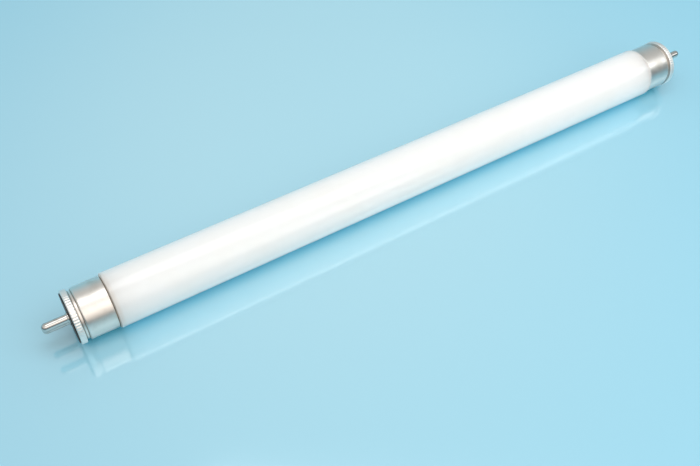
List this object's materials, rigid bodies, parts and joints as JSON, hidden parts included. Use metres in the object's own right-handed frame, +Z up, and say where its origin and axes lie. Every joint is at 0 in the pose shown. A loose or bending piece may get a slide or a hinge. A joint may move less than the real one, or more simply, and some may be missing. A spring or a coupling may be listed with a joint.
{
  "type": "fluorescent tube",
  "caption": "Straight miniature fluorescent lamp: a sealed white glass tube with a serrated bi-pin aluminium cap at each end.",
  "frame": {"origin": "the middle of the lamp, on the axis of its glass", "axes": "+X along the lamp, +Z up as it lies on its glass, -Y towards the side that the picture shows"},
  "size_m": [0.226, 0.0158, 0.0158],
  "materials": {
    "coated_glass": "clear glossy glass over a white phosphor coat",
    "cap_aluminium": "satin drawn sheet",
    "cement": "baked basing cement",
    "laminate": "dark phenolic laminate",
    "plated_pin": "bright nickel plate over brass",
    "wire": "drawn copper-clad wire"
  },
  "bodies": {
    "root": {"glass_tube": "coated_glass", "end_cap_left": "cap_aluminium", "end_cap_right": "cap_aluminium", "cement_ring_left": "cement", "cement_ring_right": "cement", "insulating_plate_left": "laminate", "insulating_plate_right": "laminate", "contact_pin_left_upper": "plated_pin", "contact_pin_left_lower": "plated_pin", "contact_pin_right_upper": "plated_pin", "contact_pin_right_lower": "plated_pin", "lead_wire_left_upper": "wire", "lead_wire_left_lower": "wire", "lead_wire_right_upper": "wire", "lead_wire_right_lower": "wire"}
  },
  "joints": []
}
